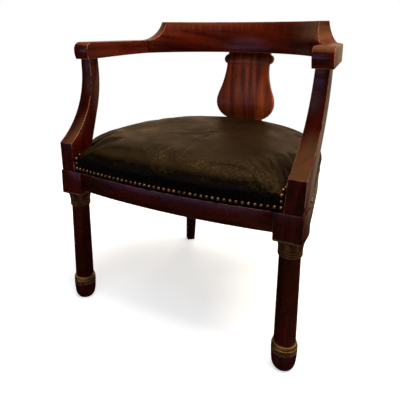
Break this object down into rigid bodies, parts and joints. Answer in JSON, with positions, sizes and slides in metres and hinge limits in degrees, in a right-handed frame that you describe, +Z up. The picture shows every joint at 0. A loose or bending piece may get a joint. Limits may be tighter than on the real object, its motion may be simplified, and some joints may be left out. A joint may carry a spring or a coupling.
{
  "type": "desk armchair",
  "caption": "Low horseshoe-backed mahogany desk armchair with swept arm posts, a lyre splat, column front legs with brass mounts and a domed nailed leather seat.",
  "frame": {"origin": "on the floor under the middle of the chair's overall box", "axes": "+Z up, -Y the way the chair faces, +X towards the arm nearer the camera in the picture"},
  "size_m": [0.6712, 0.5704, 0.76],
  "materials": {
    "mahogany": "french polished, worn on the arrises",
    "beech": "raw",
    "brass": "aged, darkened in the hollows",
    "steel": "dull",
    "leather": "waxed, creased and scuffed",
    "stuffing": "fibre pad",
    "hessian": "plain weave",
    "webbing": "twill weave"
  },
  "bodies": {
    "root": {"arm_left": "mahogany", "arm_post_left": "mahogany", "arm_post_right": "mahogany", "arm_right": "mahogany", "back_splat": "mahogany", "corner_block_left": "beech", "corner_block_right": "beech", "corner_screws": "steel", "crest_rail": "mahogany", "front_leg_left": "mahogany", "front_leg_right": "mahogany", "front_nails": "brass", "front_rail": "mahogany", "hessian_base": "hessian", "leather_cover": "leather", "leg_capitals": "brass", "leg_collars": "brass", "leg_toes": "mahogany", "rear_leg_left": "mahogany", "rear_leg_right": "mahogany", "rear_rail": "mahogany", "seat_stuffing": "stuffing", "side_nails": "brass", "side_rail_left": "mahogany", "side_rail_right": "mahogany", "webbing_crosswise": "webbing", "webbing_lengthwise": "webbing", "yoke_tongues": "beech"}
  },
  "joints": []
}
